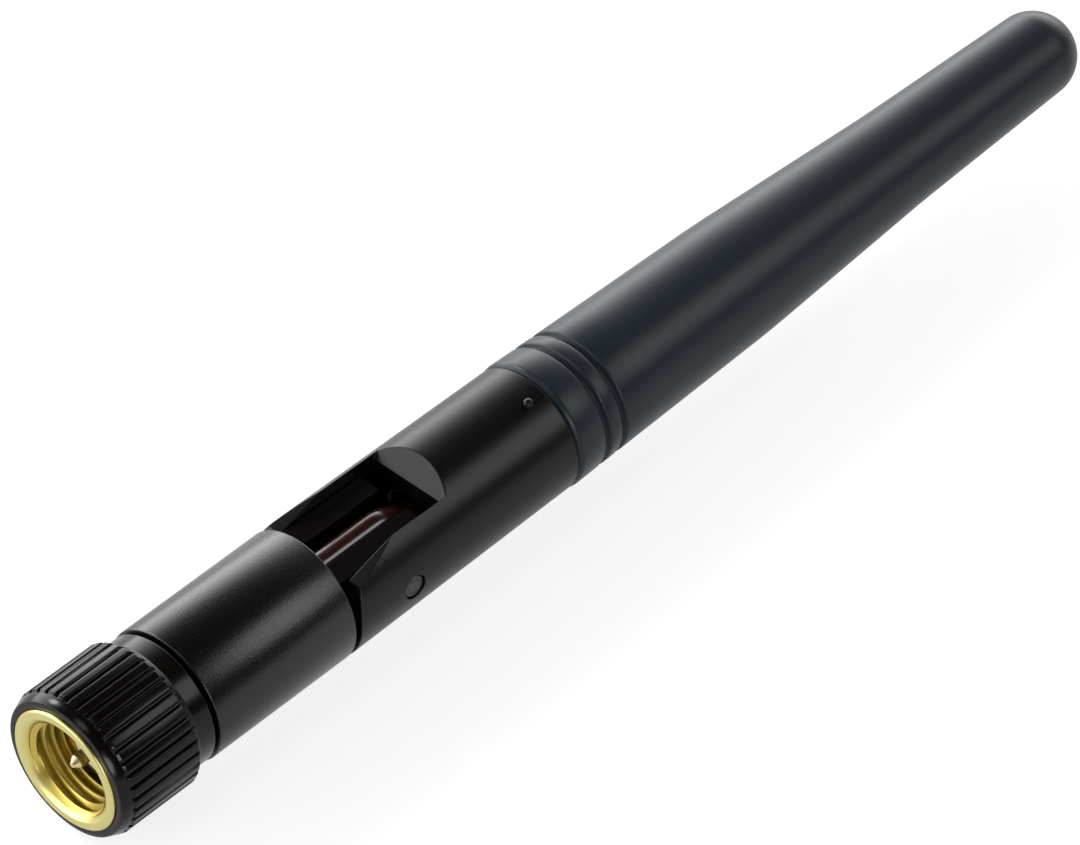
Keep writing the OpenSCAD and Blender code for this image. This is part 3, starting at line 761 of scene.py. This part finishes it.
# edges sharper than the limit are rounded, apart from a small part that stays as it is
def roundChosenEdges(obj, s):
    startEdit(obj)
    bpy.ops.mesh.select_mode(type="EDGE")
    bpy.ops.mesh.select_all(action="DESELECT")
    bpy.ops.mesh.edges_select_sharp(sharpness=math.radians(25))
    bpy.ops.object.mode_set(mode="OBJECT")
    data = obj.data
    weights = data.attributes.new("bevel_weight_edge", "FLOAT", "EDGE")
    for edge in data.edges:
        middle = (data.vertices[edge.vertices[0]].co + data.vertices[edge.vertices[1]].co) / 2
        kept = s["keptAt"] and (middle - Vector(s["keptAt"]) * mm).length < s["keptRadius"] * mm
        weights.data[edge.index].value = 1.0 if edge.select and not kept else 0.0
    applyModifier(obj, "BEVEL", width=s["edge"] * mm, segments=3, limit_method="WEIGHT",
                  use_clamp_overlap=True)


# the long faces of a tube round the X axis shade as a true cylinder, also beside the pip
def roundTubeNormals(obj, radii):
    data = obj.data
    normals = [Vector(corner.vector) for corner in data.corner_normals]
    for face in data.polygons:
        outward = Vector((0, face.center.y, face.center.z)).normalized()
        points = [data.vertices[i].co for i in face.vertices]
        onTube = all(radii[0] * mm < math.hypot(co.y, co.z) < radii[1] * mm for co in points)
        if onTube and face.normal.dot(outward) > 0.99:
            for loop in face.loop_indices:
                co = data.vertices[data.loops[loop].vertex_index].co
                normals[loop] = Vector((0, co.y, co.z)).normalized()
    data.normals_split_custom_set(normals)


def makeRoundedPiece(name, s):
    deselectAll()
    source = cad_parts[s["node"]]
    obj = source.copy()
    obj.data = source.data.copy()
    obj.name = name
    obj.data.name = name
    bpy.context.collection.objects.link(obj)
    obj.parent = None
    obj.data.transform(source.matrix_world)
    obj.matrix_world = Matrix.Identity(4)
    startEdit(obj)
    bpy.ops.mesh.select_all(action="SELECT")
    bpy.ops.mesh.remove_doubles(threshold=0.0005 * mm)
    bpy.ops.mesh.dissolve_limited(angle_limit=math.radians(0.5))
    bpy.ops.mesh.normals_make_consistent(inside=False)
    bpy.ops.object.mode_set(mode="OBJECT")
    roundChosenEdges(obj, s)
    smoothByAngle(obj, 30)
    applyModifier(obj, "WEIGHTED_NORMAL", keep_sharp=True)
    if s["tubeR"]:
        roundTubeNormals(obj, s["tubeR"])
    paint(obj, s["finish"])
    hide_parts(s["node"])
    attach(obj, s["ride"])
    return obj


for pieceName, pieceSettings in roundedSettings.items():
    makeRoundedPiece(pieceName, pieceSettings)
print("stage: hinge pieces rounded")


# the hinge pins: a flat end with a chamfered edge and a shallow turned ring
pinSettings = {
    "pivot": 22.2, "r": 0.8, "inner": 1.2, "outer": 4.34, "edge": 0.1, "ringR": 0.5,
    "ringDepth": 0.03, "sides": 48,
}


def makeHingePin(name, node, side, s):
    ring, deep = s["ringR"], s["ringDepth"]
    outline = [
        (s["inner"], s["r"] - s["edge"]), (s["inner"] + s["edge"], s["r"]),
        (s["outer"] - s["edge"], s["r"]), (s["outer"], s["r"] - s["edge"]),
        (s["outer"], ring + 0.06), (s["outer"] - deep, ring + 0.02), (s["outer"] - deep, ring - 0.02),
        (s["outer"], ring - 0.06), (s["outer"], 0),
    ]
    obj = turnPiece(name, outline, s["sides"], closed=False)
    startEdit(obj)
    pickEnds(obj)
    bpy.ops.mesh.edge_face_add()
    bpy.ops.mesh.select_all(action="SELECT")
    bpy.ops.transform.rotate(value=math.pi / 2 * side, orient_axis="Z", center_override=(0, 0, 0))
    bpy.ops.transform.translate(value=(s["pivot"] * mm, 0, 0))
    bpy.ops.mesh.normals_make_consistent(inside=False)
    bpy.ops.object.mode_set(mode="OBJECT")
    smoothByAngle(obj, 35)
    paint(obj, "blackSteel")
    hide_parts(node)
    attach(obj, "arm")
    return obj


makeHingePin("hingePinLeft", "hinge_pin_left", 1, pinSettings)
makeHingePin("hingePinRight", "hinge_pin_right", -1, pinSettings)
print("stage: hinge pins made")


# the CAD nodes that stay get their finishes
nodeFinishes = {
    "plug_shell": "goldPlating",
    "plug_insulator": "whiteInsulator",
    "center_contact": "contactGold",
    "nut_snap_ring": "bronzeSpring",
    "crimp_ferrule": "tinnedMetal",
    "swivel_washer": "washerNylon",
    "choke_sleeve": "drawnBrass",
    "feed_solder": "tinnedMetal",
    "feed_shrink_tube": "shrinkPlastic",
}
for nodeName, finishName in nodeFinishes.items():
    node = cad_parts[nodeName]
    for place in node.material_slots:
        place.material = finishes[finishName]


# stage: a pale floor that keeps the shadow, and a soft studio round the object
stageSettings = {
    "floorAt": -5.0, "floorSize": 3.0, "floorColour": (0.4, 0.4, 0.4),
    "floorGlow": 0.74, "mirrorGlow": 0.56, "backGlow": 5.6, "roomGlow": 0.008,
    "behind": (-0.35, 0.45),
    # share of the back glow by the height of the direction, from the horizon up
    "glowByHeight": (
        (0.0, 1.0), (0.2, 0.95), (0.35, 0.74), (0.47, 0.44), (0.56, 0.19), (0.63, 0.06),
        (0.68, 0.015), (0.72, 0.0),
    ),
}


def makeFloor(s):
    deselectAll()
    bpy.ops.mesh.primitive_plane_add(size=s["floorSize"], location=(0, 0, s["floorAt"] * mm))
    floor = bpy.context.object
    floor.name = "studioFloor"
    bpy.ops.object.transform_apply(location=True, rotation=True, scale=True)
    material, nodes, links, shader = newMaterial("paleFloor")
    shader.inputs["Base Color"].default_value = (*s["floorColour"], 1.0)
    shader.inputs["Roughness"].default_value = 0.9
    shader.inputs["Specular IOR Level"].default_value = 0.1
    path = addNode(nodes, "ShaderNodeLightPath")
    mirrored = addNode(nodes, "ShaderNodeMath", operation="MULTIPLY")
    links.new(path.outputs["Is Glossy Ray"], mirrored.inputs[0])
    mirrored.inputs[1].default_value = s["mirrorGlow"]
    seen = addNode(nodes, "ShaderNodeMath", operation="MAXIMUM")
    links.new(path.outputs["Is Camera Ray"], seen.inputs[0])
    links.new(path.outputs["Is Transmission Ray"], seen.inputs[1])
    glow = addNode(nodes, "ShaderNodeMath", operation="MULTIPLY_ADD")
    links.new(seen.outputs[0], glow.inputs[0])
    glow.inputs[1].default_value = s["floorGlow"]
    links.new(mirrored.outputs[0], glow.inputs[2])
    shader.inputs["Emission Color"].default_value = (1, 1, 1, 1)
    links.new(glow.outputs[0], shader.inputs["Emission Strength"])
    floor.data.materials.append(material)
    return floor


def makeRoom(s):
    world = bpy.data.worlds.new("studioRoom")
    bpy.context.scene.world = world
    world.use_nodes = True
    nodes, links = world.node_tree.nodes, world.node_tree.links
    background = nodes["Background"]
    place = addNode(nodes, "ShaderNodeTexCoord")
    split = addNode(nodes, "ShaderNodeSeparateXYZ")
    links.new(place.outputs["Generated"], split.inputs[0])
    low = addNode(nodes, "ShaderNodeValToRGB")
    stops = low.color_ramp.elements
    while len(stops) < len(s["glowByHeight"]):
        stops.new(0.5)
    for stop, (height, share) in zip(stops, s["glowByHeight"]):
        stop.position = height
        stop.color = (share, share, share, 1)
    links.new(split.outputs["Z"], low.inputs["Fac"])
    behind = addNode(nodes, "ShaderNodeMapRange", interpolation_type="SMOOTHSTEP")
    behind.inputs["From Min"].default_value = s["behind"][0]
    behind.inputs["From Max"].default_value = s["behind"][1]
    links.new(split.outputs["Y"], behind.inputs["Value"])
    both = addNode(nodes, "ShaderNodeMath", operation="MULTIPLY")
    links.new(low.outputs["Color"], both.inputs[0])
    links.new(behind.outputs["Result"], both.inputs[1])
    level = addNode(nodes, "ShaderNodeMath", operation="MULTIPLY_ADD")
    links.new(both.outputs[0], level.inputs[0])
    level.inputs[1].default_value = s["backGlow"]
    level.inputs[2].default_value = s["roomGlow"]
    path = addNode(nodes, "ShaderNodeLightPath")
    strength = addNode(nodes, "ShaderNodeMix")
    links.new(path.outputs["Is Camera Ray"], strength.inputs["Factor"])
    links.new(level.outputs[0], strength.inputs["A"])
    strength.inputs["B"].default_value = 1.0
    links.new(strength.outputs["Result"], background.inputs["Strength"])
    background.inputs["Color"].default_value = (1, 1, 1, 1)
    return world


lampSettings = {
    "sideSoftbox": {"toward": (0.523, -0.625, 0.58), "away": 0.6, "size": 0.34, "watts": 1.0},
    "topSoftbox": {"toward": (-0.35, 0.02, 0.93), "away": 0.7, "size": 0.24, "watts": 0.4},
    "frontSoftbox": {"toward": (-0.5, -0.8, 0.33), "away": 0.7, "size": 0.3, "watts": 2.0},
    "backSoftbox": {"toward": (-0.05, 0.81, 0.58), "away": 0.7, "size": 0.17, "watts": 1.6},
}


def addSoftbox(name, s):
    middle = Vector((0.03, 0, 0))
    toward = Vector(s["toward"]).normalized()
    bpy.ops.object.light_add(type="AREA", location=middle + toward * s["away"])
    lamp = bpy.context.object
    lamp.name = name
    lamp.rotation_euler = toward.to_track_quat("Z", "Y").to_euler()
    lamp.data.shape = "DISK"
    lamp.data.size = s["size"]
    lamp.data.energy = s["watts"]
    return lamp


makeFloor(stageSettings)
makeRoom(stageSettings)
for lampName, lamp in lampSettings.items():
    addSoftbox(lampName, lamp)
bpy.context.scene.view_settings.view_transform = "Standard"
print("stage: floor, room and lamps set")
